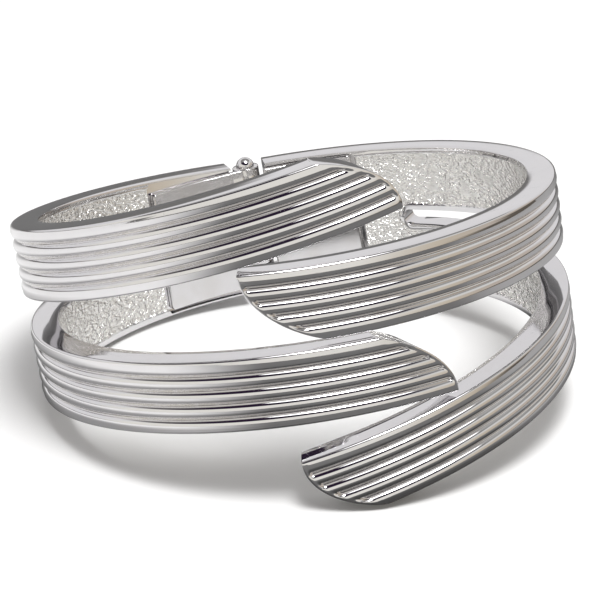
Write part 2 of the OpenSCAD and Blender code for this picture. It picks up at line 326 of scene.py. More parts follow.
    def shell(self, up):
        """Vertex places (station, column, xyz) in mm of one finger with its half of the panel,
        with the groove and texture masks, and the count of panel stations."""
        z = self.z
        panel, share = self.stations()
        rows = [("u", u) for u in panel] + [("t", t) for t in share]
        tips = np.linspace(0, 1, 500)
        out = []
        for kind, value in rows:
            u0 = value if kind == "u" else SLOT_START + (self.tip(up, np.array(0.5)) - SLOT_START) * value
            width = abs(self.far(up, u0) - self.near(up, u0))
            land = max(float(self.land(u0)), 0.02)
            rounded = float(smooth((u0 - SLOT_START) * self.per_u / EDGE_FADE))
            in_pocket = self.pocket_share(value) if kind == "u" else 0.0
            outer, inner = self.columns(width, land, rounded, in_pocket)
            out.append((kind, value, width, land, rounded, outer, inner))
        n_out = len(out[0][5])
        side = self.SIDE_STEPS
        edge_mm = np.array([[self.tip(up, w) * self.per_u, w * z.finger] for w in tips])
        places, groove, rough = [], [], []
        for i, (kind, value, width, land, rounded, outer, inner) in enumerate(out):
            s = np.concatenate([outer, np.full(side - 1, width), inner, np.full(side, 0.0)])
            w = s / width
            if kind == "u":
                u = np.full(len(w), value)
                to_tip = np.full(len(w), 9.0)
                fade = 0.0
            else:
                u = SLOT_START + (self.tip(up, w) - SLOT_START) * value
                fade = float(smooth(value * self.FADE_STATIONS - 0.1))
                to_tip = np.full(len(w), 9.0)
                if value > self.FROM_TIP:
                    here = np.stack([u * self.per_u, w * z.finger], -1)
                    to_tip = np.linalg.norm(here[:, None] - edge_mm[None], axis=2).min(1)
            # outer face
            pitch = (width - land) / z.ridges
            x = (s - land) / pitch
            share_deep = np.where(s < land, 1.0, self.ridge_share(np.clip(x, 0, z.ridges)))
            on_lip = 1 - smooth((to_tip - z.lip) / z.scoop)
            depth = z.groove * share_deep * (1 - on_lip) + z.lip_depth * on_lip
            count = len(EDGE_AT)
            soft_near = self.edge_depth(s[:count], pitch)
            depth[:count] += (soft_near - depth[:count]) * rounded
            depth[n_out - count:n_out] = self.edge_depth(width - s[n_out - count:n_out], pitch)
            share_deep[:count] *= 1 - rounded
            share_deep[n_out - count:n_out] = 0
            # wrist face
            first, last = n_out + side - 1, n_out + side - 1 + len(inner)
            si = s[first:last]
            room = [width - si]
            if kind == "u":
                room.append(np.hypot((SLOT_START - value) * self.per_u, si))
            else:
                room += [si, to_tip[first:last]]
            room = np.minimum.reduce(room)
            frame, step = self.ledge(self.pocket_share(value) if kind == "u" else 0.0)
            textured = smooth((room - frame) / step)
            in_pocket = self.pocket_share(value) if kind == "u" else 0.0
            recess = textured * (z.recess + (POCKET_DEPTH - z.recess) * in_pocket)
            inner_depth = z.wall - recess
            inner_depth[:3] -= z.edge * ARC
            inner_depth[-3:] -= z.edge * ARC[::-1] * fade
            depth[first:last] = inner_depth
            # rim and slot wall
            t = np.arange(1, side) / side
            depth[n_out:first] = depth[n_out - 1] + (inner_depth[0] - depth[n_out - 1]) * t
            t = np.arange(1, side + 1) / side
            depth[last:] = inner_depth[-1] + (depth[0] - inner_depth[-1]) * t
            # rounded ends, at the hinge and at the tip
            end = i if i < 3 else len(out) - 1 - i
            if end < 2:
                push = z.edge * ARC[end]
                depth[:n_out] += push
                depth[first:last] -= push
            near, far = self.near(up, u), self.far(up, u)
            height = near + w * (far - near)
            places.append(np.stack([-(z.half_width - depth) * np.sin(np.pi * u),
                                    (z.half_depth - depth) * np.cos(np.pi * u), height], -1))
            g = np.zeros(len(s))
            g[:n_out] = (share_deep * (1 - on_lip))[:n_out]
            r = np.zeros(len(s))
            r[first:last] = textured * (1 - in_pocket)
            groove.append(g)
            rough.append(r)
        places = self.capped(np.array(places), n_out)
        pad = [np.array([m[0]] + m + [m[-1]]) for m in (groove, rough)]
        return places, pad[0], pad[1], len(panel) + 1

    def capped(self, places, n_out):
        """Adds a station at each end, where the section closes on its own middle line."""
        n_in_last = 2 * n_out + self.SIDE_STEPS - 2
        ends = []
        for row in (places[0], places[-1]):
            closed = row.copy()
            mate = n_in_last - np.arange(n_out)
            middle = (row[:n_out] + row[mate]) / 2
            closed[:n_out] = middle
            closed[mate] = middle
            closed[n_out:n_out + self.SIDE_STEPS - 1] = middle[-1]
            closed[n_in_last + 1:] = middle[0]
            ends.append(closed)
        return np.concatenate([ends[0][None], places, ends[1][None]])


# ---------------------------------------------------------------- mesh helpers

def deselect():
    if bpy.context.object and bpy.context.object.mode != "OBJECT":
        bpy.ops.object.mode_set(mode="OBJECT")
    bpy.ops.object.select_all(action="DESELECT")


def take(*pieces):
    """Selects just these pieces, the first one active."""
    deselect()
    for piece in pieces:
        piece.select_set(True)
    bpy.context.view_layer.objects.active = pieces[0]
    return pieces[0]


def joined(name, pieces):
    piece = take(*pieces)
    if len(pieces) > 1:
        bpy.ops.object.join()
    piece.name = name
    piece.data.name = name
    return piece


def places_of(piece):
    co = np.empty(len(piece.data.vertices) * 3)
    piece.data.vertices.foreach_get("co", co)
    return co.reshape(-1, 3)


def set_places(piece, co):
    piece.data.vertices.foreach_set("co", np.ascontiguousarray(co, float).ravel())
    piece.data.update()


def edit(piece, mode="FACE"):
    """Edit mode with nothing selected."""
    take(piece)
    bpy.ops.object.mode_set(mode="EDIT")
    bpy.ops.mesh.select_mode(type=mode)
    bpy.ops.mesh.select_all(action="DESELECT")
    bpy.ops.object.mode_set(mode="OBJECT")


def edit_selected(operation):
    """Runs an edit-mode operation on what has been selected in code."""
    bpy.ops.object.mode_set(mode="EDIT")
    operation()
    bpy.ops.object.mode_set(mode="OBJECT")


def weld(piece, distance=1e-6, outwards=True):
    """Merges touching points and turns all the faces outwards."""
    take(piece)
    bpy.ops.object.mode_set(mode="EDIT")
    bpy.ops.mesh.select_all(action="SELECT")
    bpy.ops.mesh.remove_doubles(threshold=distance)
    if outwards:
        bpy.ops.mesh.normals_make_consistent(inside=False)
    bpy.ops.object.mode_set(mode="OBJECT")


def bevel_edges(piece, width, segments=3, angle=40):
    take(piece)
    modifier = piece.modifiers.new("Edges", "BEVEL")
    modifier.width = width * MM
    modifier.segments = segments
    modifier.limit_method = "ANGLE"
    modifier.angle_limit = math.radians(angle)
    bpy.ops.object.modifier_apply(modifier=modifier.name)


def smooth_shading(piece, angle=35):
    take(piece)
    bpy.ops.object.shade_smooth_by_angle(angle=math.radians(angle))


def lay(piece, turned=False):
    """Moves a finished mesh from the hinge's own axes, in metres, to its place in the frame."""
    piece.data.transform(LAID @ TURNED_OVER if turned else LAID)
    piece.data.update()


def settle(piece, body, slot, material, *nodes):
    """Gives a finished piece its material, its body, and the CAD nodes that it stands for."""
    piece.data.materials.clear()
    piece.data.materials.append(material)
    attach(piece, body)
    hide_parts(*nodes)


# ---------------------------------------------------------------- shared shader effects

def socket(tree, name, kind, output=False, default=None):
    made = tree.interface.new_socket(name=name, in_out="OUTPUT" if output else "INPUT", socket_type=kind)
    if default is not None:
        made.default_value = default
    return made


def add(tree, kind, inputs=None, **settings):
    """A node with its settings, and its inputs set to values or linked from sockets."""
    node = tree.nodes.new(kind)
    for key, value in settings.items():
        setattr(node, key, value)
    for key, value in (inputs or {}).items():
        if isinstance(value, bpy.types.NodeSocket):
            tree.links.new(value, node.inputs[key])
        else:
            node.inputs[key].default_value = value
    return node


def mathnode(tree, operation, a, b=None, c=None, clamp=False):
    inputs = {k: v for k, v in enumerate((a, b, c)) if v is not None}
    return add(tree, "ShaderNodeMath", inputs, operation=operation, use_clamp=clamp).outputs[0]


def ramp(tree, value, low, high, to_low=0.0, to_high=1.0, soft=True):
    node = add(tree, "ShaderNodeMapRange",
               {"Value": value, "From Min": low, "From Max": high, "To Min": to_low, "To Max": to_high},
               interpolation_type="SMOOTHSTEP" if soft else "LINEAR")
    return node.outputs["Result"]


def mixed(tree, share, a, b):
    node = add(tree, "ShaderNodeMix", data_type="RGBA")
    for key, value in (("Factor", share), ("A", a), ("B", b)):
        matches = [s for s in node.inputs if s.name == key and s.enabled]
        if isinstance(value, bpy.types.NodeSocket):
            tree.links.new(value, matches[0])
        else:
            matches[0].default_value = value
    return [s for s in node.outputs if s.enabled][0]


def noise(tree, vector, scale, detail=2.0, roughness=0.5):
    node = add(tree, "ShaderNodeTexNoise", {"Vector": vector, "Scale": scale, "Detail": detail,
                                            "Roughness": roughness})
    return node.outputs["Fac"]


def scaled(tree, vector, scale):
    return add(tree, "ShaderNodeMapping", {"Vector": vector, "Scale": scale}).outputs["Vector"]


def polish_group():
    """Uneven polish and hairline scratches of a buffed metal."""
    group = bpy.data.node_groups.get("Buffed Polish")
    if group:
        return group
    group = bpy.data.node_groups.new("Buffed Polish", "ShaderNodeTree")
    socket(group, "Place", "NodeSocketVector")
    socket(group, "Dullness", "NodeSocketFloat", default=0.0)
    socket(group, "Roughness", "NodeSocketFloat", output=True)
    socket(group, "Scratches", "NodeSocketFloat", output=True)
    socket(group, "Haze", "NodeSocketFloat", output=True)
    start = add(group, "NodeGroupInput")
    end = add(group, "NodeGroupOutput")
    place = start.outputs["Place"]
    cloud = noise(group, place, 260, 3.0, 0.55)
    haze = ramp(group, cloud, 0.38, 0.68)
    turned = add(group, "ShaderNodeMapping", {"Vector": place, "Rotation": (0.3, 0.5, 0.7),
                                              "Scale": (260, 5200, 3600)}).outputs["Vector"]
    crossing = add(group, "ShaderNodeMapping", {"Vector": place, "Rotation": (1.1, 0.2, 2.2),
                                                "Scale": (4800, 300, 4200)}).outputs["Vector"]
    hair = ramp(group, noise(group, turned, 1.0, 2.0, 0.6), 0.66, 0.74)
    hair_two = ramp(group, noise(group, crossing, 1.0, 2.0, 0.6), 0.68, 0.76)
    hairs = mathnode(group, "MAXIMUM", hair, hair_two)
    patches = ramp(group, noise(group, place, 420, 1.0), 0.42, 0.62)
    scratches = mathnode(group, "MULTIPLY", hairs, patches)
    rough = mathnode(group, "MULTIPLY_ADD", haze, 0.045, 0.035)
    rough = mathnode(group, "MULTIPLY_ADD", scratches, 0.05, rough)
    rough = mathnode(group, "MULTIPLY_ADD", start.outputs["Dullness"], 0.20, rough)
    group.links.new(rough, end.inputs["Roughness"])
    group.links.new(scratches, end.inputs["Scratches"])
    group.links.new(haze, end.inputs["Haze"])
    return group


def groove_shade_group():
    """Painted shade of the hollows: a mask that is strongest in the deepest parts of the grooves and breaks
    up in specks, with a faint random dulling everywhere.
    """
    group = bpy.data.node_groups.get("Hollow Shade And Specks")
    if group:
        return group
    group = bpy.data.node_groups.new("Hollow Shade And Specks", "ShaderNodeTree")
    socket(group, "Place", "NodeSocketVector")
    socket(group, "Hollow", "NodeSocketFloat", default=0.0)
    socket(group, "Mask", "NodeSocketFloat", output=True)
    start = add(group, "NodeGroupInput")
    end = add(group, "NodeGroupOutput")
    deep = ramp(group, start.outputs["Hollow"], 0.72, 1.0)
    broken = ramp(group, noise(group, start.outputs["Place"], 900, 4.0, 0.6), 0.30, 0.66)
    wide = ramp(group, noise(group, start.outputs["Place"], 90, 2.0), 0.35, 0.65)
    mask = mathnode(group, "MULTIPLY", deep, mathnode(group, "MULTIPLY_ADD", broken, 0.45, 0.25))
    mask = mathnode(group, "MULTIPLY_ADD", mathnode(group, "MULTIPLY", broken, wide), 0.10, mask)
    group.links.new(mask, end.inputs["Mask"])
    return group


def grouped(tree, group, inputs):
    node = add(tree, "ShaderNodeGroup", node_tree=group)
    for key, value in inputs.items():
        if isinstance(value, bpy.types.NodeSocket):
            tree.links.new(value, node.inputs[key])
        else:
            node.inputs[key].default_value = value
    return node


def new_material(name):
    """An empty metal: (material, tree, principled shader, the object's own coordinates)."""
    material = bpy.data.materials.new(name)
    material.use_nodes = True
    tree = material.node_tree
    shader = tree.nodes["Principled BSDF"]
    shader.inputs["Metallic"].default_value = 1.0
    place = add(tree, "ShaderNodeTexCoord").outputs["Object"]
    return material, tree, shader, place


def attribute(tree, name):
    return add(tree, "ShaderNodeAttribute", attribute_name=name).outputs["Fac"]


def rgba(colour):
    return (*colour, 1.0)


def band_plating():
    """Mirror plating with painted shade in its grooves, and the cast grain of the wrist side."""
    colours = bpy.context.scene.bangle_finishes
    material, tree, shader, place = new_material("band_plating")
    groove = attribute(tree, "groove")
    cast = attribute(tree, "cast")
    polish = grouped(tree, polish_group(), {"Place": place, "Dullness": cast})
    groove_shade = grouped(tree, groove_shade_group(), {"Place": place, "Hollow": groove})
    tint = mixed(tree, mathnode(tree, "MULTIPLY", polish.outputs["Haze"], 0.25),
                 rgba(colours.plating), (0.70, 0.70, 0.72, 1))
    # painted shade: the worn colour is laid over the deepest groove bottoms, where the grooves are in shade
    tint = mixed(tree, groove_shade.outputs["Mask"], tint, rgba(colours.worn_and_groove_shade))
    tint = mixed(tree, cast, tint, rgba(colours.cast))
    tree.links.new(tint, shader.inputs["Base Color"])
    tree.links.new(polish.outputs["Roughness"], shader.inputs["Roughness"])
    grain = ramp(tree, noise(tree, scaled(tree, place, (0.55, 0.55, 1)), 2700, 2.0, 0.5), 0.32, 0.68)
    height = mathnode(tree, "MULTIPLY", grain, cast)
    height = mathnode(tree, "MULTIPLY_ADD", polish.outputs["Scratches"], -0.008, height)
    bump = add(tree, "ShaderNodeBump", {"Strength": 0.95, "Distance": 0.00016, "Height": height})
    tree.links.new(bump.outputs["Normal"], shader.inputs["Normal"])
    return material


def leaf_plating():
    """Smoother plating of the hinge leaves, with drawn lines along the sheet."""
    colours = bpy.context.scene.bangle_finishes
    material, tree, shader, place = new_material("leaf_plating")
    polish = grouped(tree, polish_group(), {"Place": place, "Dullness": 0.18})
    drawn = noise(tree, scaled(tree, place, (120, 120, 5200)), 1.0, 2.0)
    tint = mixed(tree, mathnode(tree, "MULTIPLY", polish.outputs["Haze"], 0.3),
                 rgba(colours.plating), rgba(colours.worn_and_groove_shade))
    tree.links.new(tint, shader.inputs["Base Color"])
    tree.links.new(polish.outputs["Roughness"], shader.inputs["Roughness"])
    height = mathnode(tree, "MULTIPLY_ADD", polish.outputs["Scratches"], -0.3, drawn)
    bump = add(tree, "ShaderNodeBump", {"Strength": 0.2, "Distance": 0.00001, "Height": height})
    tree.links.new(bump.outputs["Normal"], shader.inputs["Normal"])
    return material


def ball_plating():
    """Bright plating of the pin's head and ball, with faint wear."""
    colours = bpy.context.scene.bangle_finishes
    material, tree, shader, place = new_material("ball_plating")
    polish = grouped(tree, polish_group(), {"Place": place, "Dullness": 0.05})
    wear = ramp(tree, noise(tree, place, 1300, 3.0), 0.5, 0.7)
    tint = mixed(tree, mathnode(tree, "MULTIPLY", wear, 0.35), rgba(colours.plating), rgba(colours.worn_and_groove_shade))
    tree.links.new(tint, shader.inputs["Base Color"])
    tree.links.new(polish.outputs["Roughness"], shader.inputs["Roughness"])
    bump = add(tree, "ShaderNodeBump", {"Strength": 0.3, "Distance": 0.000004,
                                        "Height": polish.outputs["Scratches"]})
    tree.links.new(bump.outputs["Normal"], shader.inputs["Normal"])
    return material


def drawn_steel(name, along, dullness):
    """Bare drawn steel, with lines along the draw and a film of oil haze."""
    colours = bpy.context.scene.bangle_finishes
    material, tree, shader, place = new_material(name)
    polish = grouped(tree, polish_group(), {"Place": place, "Dullness": dullness})
    lines = noise(tree, scaled(tree, place, along), 1.0, 2.0)
    tint = mixed(tree, ramp(tree, lines, 0.3, 0.7), rgba(colours.steel), (0.40, 0.39, 0.38, 1))
    tree.links.new(tint, shader.inputs["Base Color"])
    tree.links.new(polish.outputs["Roughness"], shader.inputs["Roughness"])
    bump = add(tree, "ShaderNodeBump", {"Strength": 0.35, "Distance": 0.00001, "Height": lines})
    tree.links.new(bump.outputs["Normal"], shader.inputs["Normal"])
    return material


# ---------------------------------------------------------------- the two bands

def finger_sheet(band, up, name):
    """A grid blank wrapped into one finger and its half of the panel."""
    places, groove, cast, panel_rows = band.shell(up)
    rows, columns = places.shape[:2]
    deselect()
    bpy.ops.mesh.primitive_grid_add(x_subdivisions=rows - 1, y_subdivisions=columns - 1, size=1)
    sheet = bpy.context.object
    sheet.name = name
    blank = places_of(sheet)
    row = np.rint((blank[:, 0] + 0.5) * (rows - 1)).astype(int)
    column = np.rint((blank[:, 1] + 0.5) * (columns - 1)).astype(int)
    set_places(sheet, places[row, column] * MM)
    for key, values in (("groove", groove), ("cast", cast)):
        mask = sheet.data.attributes.new(key, "FLOAT", "POINT")
        mask.data.foreach_set("value", values[row, column].astype(np.float32))
    # the panel has no slot wall, so its two halves meet there
    edit(sheet)
    first_wall = columns - 1 - band.SIDE_STEPS
    for face in sheet.data.polygons:
        corners = list(face.vertices)
        face.select = bool(column[corners].min() >= first_wall and row[corners].max() <= panel_rows)
    edit_selected(lambda: bpy.ops.mesh.delete(type="FACE"))
    return sheet


def cast_texture(piece, height):
    """Raises the cast texture of the wrist side in the mesh itself."""
    mask = piece.data.attributes["cast"]
    weights = np.empty(len(mask.data), np.float32)
    mask.data.foreach_get("value", weights)
    group = piece.vertex_groups.new(name="cast")
    for index in np.nonzero(weights > 0.02)[0]:
        group.add([int(index)], float(weights[index]), "REPLACE")
    take(piece)
    for kind, size, share in (("CLOUDS", 0.5, 1.0), ("STUCCI", 0.3, 0.5)):
        pattern = bpy.data.textures.new("cast_" + kind.lower(), kind)
        pattern.noise_scale = size * MM
        modifier = piece.modifiers.new("Cast " + kind, "DISPLACE")
        modifier.texture = pattern
        modifier.texture_coords = "LOCAL"
        modifier.vertex_group = "cast"
        modifier.mid_level = 0.5
        modifier.strength = height * share * MM
        bpy.ops.object.modifier_apply(modifier=modifier.name)


class BANGLE_OT_bands(bpy.types.Operator):
    """Builds both cast halves, each a tall panel that splits into two ridged fingers"""

    bl_idname = "bangle.bands"
    bl_label = "Bands"

    def execute(self, context):
        sizes = context.scene.bangle_band
        band = Band(sizes)
        material = band_plating()
        for side, turned in (("left", False), ("right", True)):
            fingers = [finger_sheet(band, up, "finger") for up in (1, -1)]
            piece = joined(side + "_cuff_half", fingers)
            weld(piece)
            cast_texture(piece, sizes.hammer)
            smooth_shading(piece)
            lay(piece, turned)
            settle(piece, side + "_half", "polished_band", material, side + "_band")
        return {"FINISHED"}


# ---------------------------------------------------------------- the hinge

KNUCKLE_TOP, KNUCKLE_MID, KNUCKLE_LOW, KNUCKLE_GAP = 8.4, 5.1, 1.7, 0.1
TAB_START, LEAF_SETBACK = 0.6, 2.05
BALL_SINK, HEAD_LIFT, PIN_GRIP = 0.12, 0.03, 0.4
# Half width and half depth of the wrist side's oval, which the leaves follow at the back
INNER_A, INNER_B = 30.4, 22.4
LEAF_ARC = INNER_A ** 2 / INNER_B


def curved_plate(reach_a, reach_b, low, high, thickness, corner=0.0):
    """A plate rolled to the leaf's arc, from x = reach_a to reach_b beside the hinge axis."""
    deselect()
    bpy.ops.mesh.primitive_plane_add(size=1)
    plate = bpy.context.object
    co = places_of(plate)
    flat = np.stack([reach_a + (co[:, 0] + 0.5) * (reach_b - reach_a),
                     low + (co[:, 1] + 0.5) * (high - low), np.zeros(len(co))], -1)
    set_places(plate, flat)
    edit(plate, "VERT")
    if corner:
        for vertex in plate.data.vertices:
            vertex.select = vertex.co.x > (reach_a + reach_b) / 2
        edit_selected(lambda: bpy.ops.mesh.bevel(offset=corner, offset_type="OFFSET", segments=8,
                                                 affect="VERTICES"))
    cuts = int((reach_b - reach_a) / 0.35)
    for k in range(1, cuts):
        x = reach_a + (reach_b - reach_a) * k / cuts
        bpy.ops.object.mode_set(mode="EDIT")
        bpy.ops.mesh.select_all(action="SELECT")
        bpy.ops.mesh.bisect(plane_co=(x, 0, 0), plane_no=(1, 0, 0))
        bpy.ops.object.mode_set(mode="OBJECT")
    co = places_of(plate)
    angle = np.arcsin(np.clip(co[:, 0] / LEAF_ARC, -1, 1))
    rolled = np.stack([-LEAF_ARC * np.sin(angle), INNER_B - LEAF_ARC + LEAF_ARC * np.cos(angle),
                       co[:, 1]], -1)
    set_places(plate, rolled * MM)
    take(plate)
    modifier = plate.modifiers.new("Thickness", "SOLIDIFY")
    modifier.thickness = thickness * MM
    # the wall grows away from the wrist
    normal_y = plate.data.polygons[0].normal.y
    modifier.offset = 1 if normal_y > 0 else -1
    bpy.ops.object.modifier_apply(modifier=modifier.name)
    weld(plate)
    bevel_edges(plate, min(0.12, thickness * 0.2), 3)
    return plate


def knuckle(radius, bore, low, high):
    """A rolled knuckle: a tube with rounded mouths."""
    deselect()
    bpy.ops.mesh.primitive_cylinder_add(vertices=96, radius=radius * MM, depth=(high - low) * MM,
                                        end_fill_type="NGON",
                                        location=(0, HINGE_Y * MM, (low + high) / 2 * MM))
    tube = bpy.context.object
    bpy.ops.object.transform_apply(location=True, rotation=True, scale=True)
    edit(tube)
    for face in tube.data.polygons:
        face.select = abs(face.normal.z) > 0.9
    edit_selected(lambda: bpy.ops.mesh.inset(thickness=(radius - bore) * MM))
    edit_selected(lambda: bpy.ops.mesh.delete(type="ONLY_FACE"))
    edit(tube, "EDGE")
    co = places_of(tube)
    for edge in tube.data.edges:
        ends = co[list(edge.vertices)]
        distance = np.hypot(ends[:, 0], ends[:, 1] - HINGE_Y * MM)
        level = abs(ends[0, 2] - ends[1, 2]) < 1e-7
        edge.select = bool(level and (distance < (bore + 0.05) * MM).all())
    edit_selected(lambda: bpy.ops.mesh.bridge_edge_loops())
    weld(tube)
    bevel_edges(tube, 0.14, 3)
    return tube


def hinge_leaf(sizes, name):
    bore = sizes.pin + sizes.play
    parts = [curved_plate(LEAF_SETBACK, sizes.reach, -sizes.leaf_low, sizes.leaf_top, sizes.leaf, 0.5)]
    for low, high in ((KNUCKLE_MID + KNUCKLE_GAP, KNUCKLE_TOP), (-KNUCKLE_MID, -KNUCKLE_LOW)):
        parts.append(knuckle(sizes.knuckle, bore, low, high))
        parts.append(curved_plate(TAB_START + 0.15, LEAF_SETBACK + 0.5, low + 0.05, high - 0.05,
                                  sizes.leaf * 0.98))
    return joined(name, parts)


class BANGLE_OT_leaves(bpy.types.Operator):
    """Builds the two hinge leaves with their knuckles"""

    bl_idname = "bangle.leaves"
    bl_label = "Hinge leaves"

    def execute(self, context):
        sizes = context.scene.bangle_hinge
        material = leaf_plating()
        for side, turned in (("left", False), ("right", True)):
            piece = hinge_leaf(sizes, side + "_leaf")
            smooth_shading(piece)
            lay(piece, turned)
            settle(piece, side + "_half", "polished_leaf", material, side + "_hinge_leaf")
        return {"FINISHED"}


def pin_end(name, radius, middle):
    """A sphere on the pin's end, cut flat just above the knuckle."""
    deselect()
    bpy.ops.mesh.primitive_uv_sphere_add(segments=64, ring_count=40, radius=radius * MM,
                                         location=(0, HINGE_Y * MM, middle * MM))
    ball = bpy.context.object
    bpy.ops.object.transform_apply(location=True, rotation=True, scale=True)
    bpy.ops.object.mode_set(mode="EDIT")
    bpy.ops.mesh.select_all(action="SELECT")
    bpy.ops.mesh.bisect(plane_co=(0, 0, (KNUCKLE_TOP + HEAD_LIFT) * MM), plane_no=(0, 0, 1),
                        use_fill=True, clear_inner=True)
    bpy.ops.object.mode_set(mode="OBJECT")
    bevel_edges(ball, 0.06, 2)
    smooth_shading(ball)
    return joined(name, [ball])


class BANGLE_OT_pin(bpy.types.Operator):
    """Builds the hinge pin, its domed head and the ball below it"""

    bl_idname = "bangle.pin"
    bl_label = "Pin, head and ball"

    def execute(self, context):
        sizes = context.scene.bangle_hinge
        dome_z = KNUCKLE_TOP + HEAD_LIFT
        ball_z = KNUCKLE_TOP + sizes.ball - BALL_SINK
        top, bottom = dome_z + PIN_GRIP, -ball_z - PIN_GRIP
        deselect()
        bpy.ops.mesh.primitive_cylinder_add(vertices=64, radius=sizes.pin * MM, depth=(top - bottom) * MM,
                                            location=(0, HINGE_Y * MM, (top + bottom) / 2 * MM))
        pin = bpy.context.object
        bpy.ops.object.transform_apply(location=True, rotation=True, scale=True)
        bevel_edges(pin, 0.15, 3)
        smooth_shading(pin)
        pin = joined("pin", [pin])
        lay(pin)
        settle(pin, "left_half", "pin_steel", drawn_steel("drawn_pin_steel", (4200, 4200, 160), 0.3),
               "hinge_pin")
        material = ball_plating()
        ends = (("pin_head", dome_z, False, "pin_top_dome"), ("pin_ball", ball_z, True, "pin_bottom_ball"))
        for name, middle, turned, node in ends:
            piece = pin_end(name, sizes.ball, middle)
            lay(piece, turned)
            settle(piece, "left_half", "polished_ball", material, node)
        return {"FINISHED"}


COIL_R, LEG_R, COIL_PITCH, LEG_REACH = 1.2, 1.97, 0.52, 5
TURN_STEPS, EASE_STEPS = 36, 12


def spring_path(turns):
    """The closing spring's wire: a leg along one leaf, the coil, and a leg along the other."""
    steps = turns * TURN_STEPS
    half = turns * COIL_PITCH / 2

    def leg(side, x):
        return (side * x, HINGE_Y - LEG_R - x * x / (2 * LEAF_ARC) - 0.01 * x, -side * half)

    path = [leg(-1, LEG_REACH - 0.5 * k) for k in range(2 * (LEG_REACH - 1) + 1)]
    for k in range(steps + 1):
        ease = float(smooth(min(k, steps - k) / EASE_STEPS))
        radius = LEG_R + (COIL_R - LEG_R) * ease
        turn = math.radians(-90 + 360 * k / TURN_STEPS)
        path.append((radius * math.cos(turn), HINGE_Y + radius * math.sin(turn),
                     (0.5 - k / steps) * 2 * half))
    return path + [leg(1, 1 + 0.5 * k) for k in range(2 * (LEG_REACH - 1) + 1)]


class BANGLE_OT_spring(bpy.types.Operator):
    """Builds the closing spring, wound round the pin"""

    bl_idname = "bangle.spring"
    bl_label = "Spring"

    def execute(self, context):
        sizes = context.scene.bangle_hinge
        path = spring_path(sizes.turns)
        curve = bpy.data.curves.new("spring_wire", "CURVE")
        curve.dimensions = "3D"
        curve.bevel_depth = sizes.wire * MM
        curve.bevel_resolution = 4
        curve.use_fill_caps = True
        line = curve.splines.new("POLY")
        line.points.add(len(path) - 1)
        for point, place in zip(line.points, path):
            point.co = (*(c * MM for c in place), 1)
        wire = bpy.data.objects.new("closing_spring", curve)
        context.collection.objects.link(wire)
        take(wire)
        bpy.ops.object.convert(target="MESH")
        piece = joined("closing_spring", [bpy.context.object])
        weld(piece)
        smooth_shading(piece, 50)
        lay(piece)
        settle(piece, "left_half", "spring_steel", drawn_steel("drawn_spring_wire", (900, 900, 5200), 0.45),
               "torsion_spring")
        return {"FINISHED"}


# ---------------------------------------------------------------- stage

def floor_material():
    """Pale paper to the eye. The metal sees it with painted shade and light: a painted shadow dark in front
    and close round the bracelet, painted light to the left and inside the oval, and a little lighter to the
    right."""
    material = bpy.data.materials.new("plain_floor")
    material.use_nodes = True
    tree = material.node_tree
    shader = tree.nodes["Principled BSDF"]
    place = add(tree, "ShaderNodeTexCoord").outputs["Object"]
    pale = bpy.context.scene.bangle_finishes.floor
    eye = add(tree, "ShaderNodeLightPath").outputs["Is Camera Ray"]
    oval = add(tree, "ShaderNodeVectorMath", {0: scaled(tree, place, (29, 37, 1))}, operation="LENGTH")
    around = add(tree, "ShaderNodeVectorMath", {0: place}, operation="NORMALIZE").outputs[0]
    split = add(tree, "ShaderNodeSeparateXYZ", {"Vector": around})
    # Painted light and shade, seen only in reflections: lighter to the left and to the right, a painted
    # shadow in front
    left = ramp(tree, split.outputs["X"], -0.25, -0.8, 0.16, 0.95)
    right = ramp(tree, split.outputs["X"], 0.7, 0.98, 0.0, 0.25)
    outside = mathnode(tree, "MULTIPLY", ramp(tree, oval.outputs["Value"], 1.15, 1.9, 0.35, 1.0),
                       mathnode(tree, "ADD", left, right))
    # painted shadow close round the bracelet outside and along its inner walls, painted light in the middle
    # of the oval
    near = mathnode(tree, "MAXIMUM", outside, ramp(tree, oval.outputs["Value"], 0.70, 0.95, 0.85, 0.0))
    tint = mixed(tree, noise(tree, place, 30, 2.0), rgba(pale), rgba([c * 0.985 for c in pale]))
    shade = add(tree, "ShaderNodeVectorMath", {0: tint, "Scale": near}, operation="SCALE").outputs[0]
    tree.links.new(mixed(tree, eye, shade, tint), shader.inputs["Base Color"])
    shader.inputs["Roughness"].default_value = 0.75
    shader.inputs["Specular IOR Level"].default_value = 0.15
    return material


def bands_of_light(tree, height, stops):
    """A colour for each height of direction, from straight down, -1, to straight up, 1."""
    node = add(tree, "ShaderNodeValToRGB", {"Fac": ramp(tree, height, -1, 1, soft=False)})
    stripes = node.color_ramp.elements
    while len(stripes) < len(stops):
        stripes.new(0.5)
    for stripe, (level, colour) in zip(stripes, stops):
        stripe.position = (level + 1) / 2
        stripe.color = rgba(colour)
    return node.outputs["Color"]


CREAM, BACKDROP, ROOM, HORIZON, CEILING, WARM, SIDE_PANEL, SOFT_BOX = (
    (0.95, 0.93, 0.87), (0.86, 0.85, 0.86), (0.028, 0.017, 0.038), (0.20, 0.195, 0.19),
    (0.42, 0.42, 0.41), (0.70, 0.63, 0.54), (0.82, 0.82, 0.80),
    (2.6, 2.6, 2.6))


